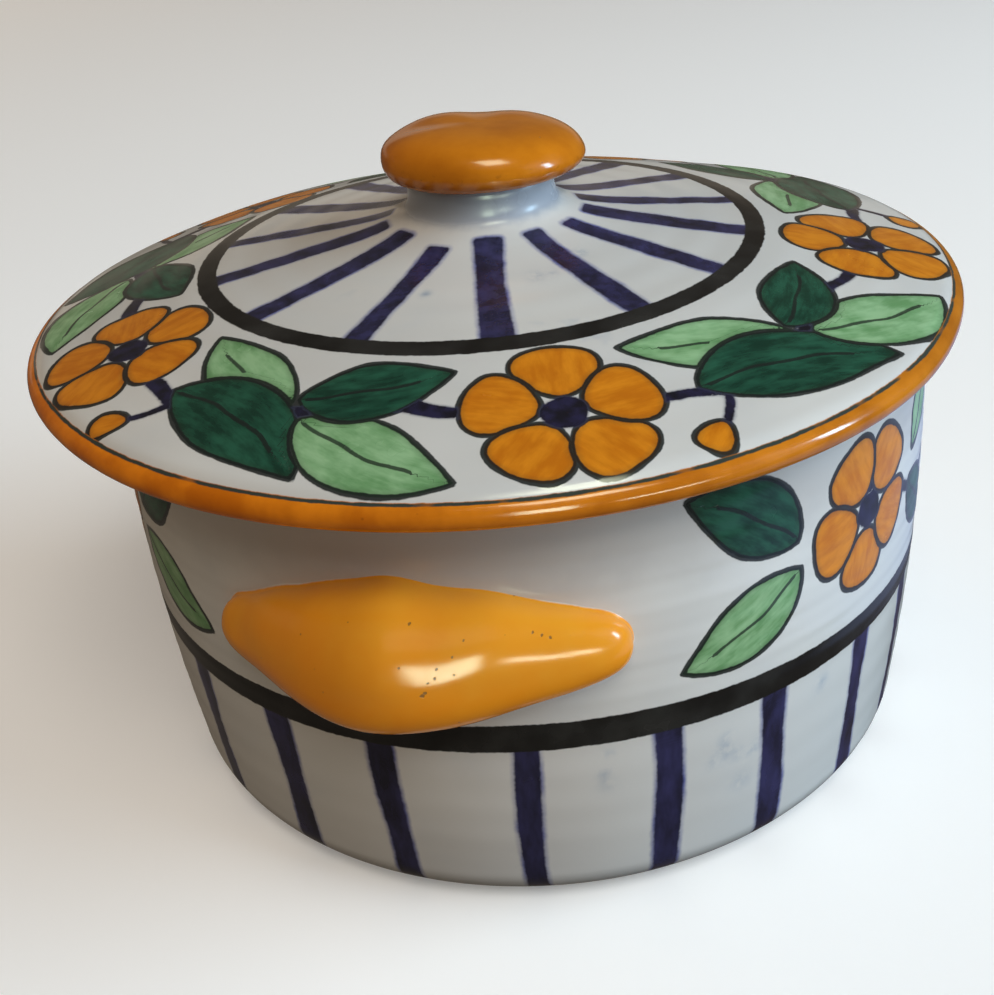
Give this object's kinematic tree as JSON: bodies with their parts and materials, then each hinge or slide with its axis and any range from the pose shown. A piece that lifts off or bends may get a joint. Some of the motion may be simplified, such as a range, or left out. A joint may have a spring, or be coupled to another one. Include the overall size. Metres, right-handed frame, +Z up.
{
  "type": "bonbonniere",
  "caption": "Round glazed faience pot for sweets with modelled lug handles and a loose, wide, shallow-domed lid that lifts off by a moulded knob; free-standing on a flat base.",
  "frame": {"origin": "centre of the pot's flat base, on the surface that it stands on", "axes": "+Z up along the pot's axis; the two lug handles lie on the Y axis, the front one towards -Y; +X to the right"},
  "size_m": [0.1699, 0.1806, 0.1162],
  "materials": {
    "tin_glaze": "glossy white tin glaze with painted stripes and border",
    "amber_glaze": "glossy amber glaze",
    "bare_clay": "thinly glazed and worn clay"
  },
  "bodies": {
    "pot": {"pot_body": "tin_glaze", "handle_front": "amber_glaze", "handle_rear": "amber_glaze"},
    "lid": {"lid": "tin_glaze", "lid_locating_ring": "bare_clay", "lid_knob": "amber_glaze"}
  },
  "joints": [
    {"name": "lid_lift", "type": "slide", "parent": "pot", "child": "lid", "axis": [0, 0, 1], "range_m": [0, 0.1]}
  ]
}
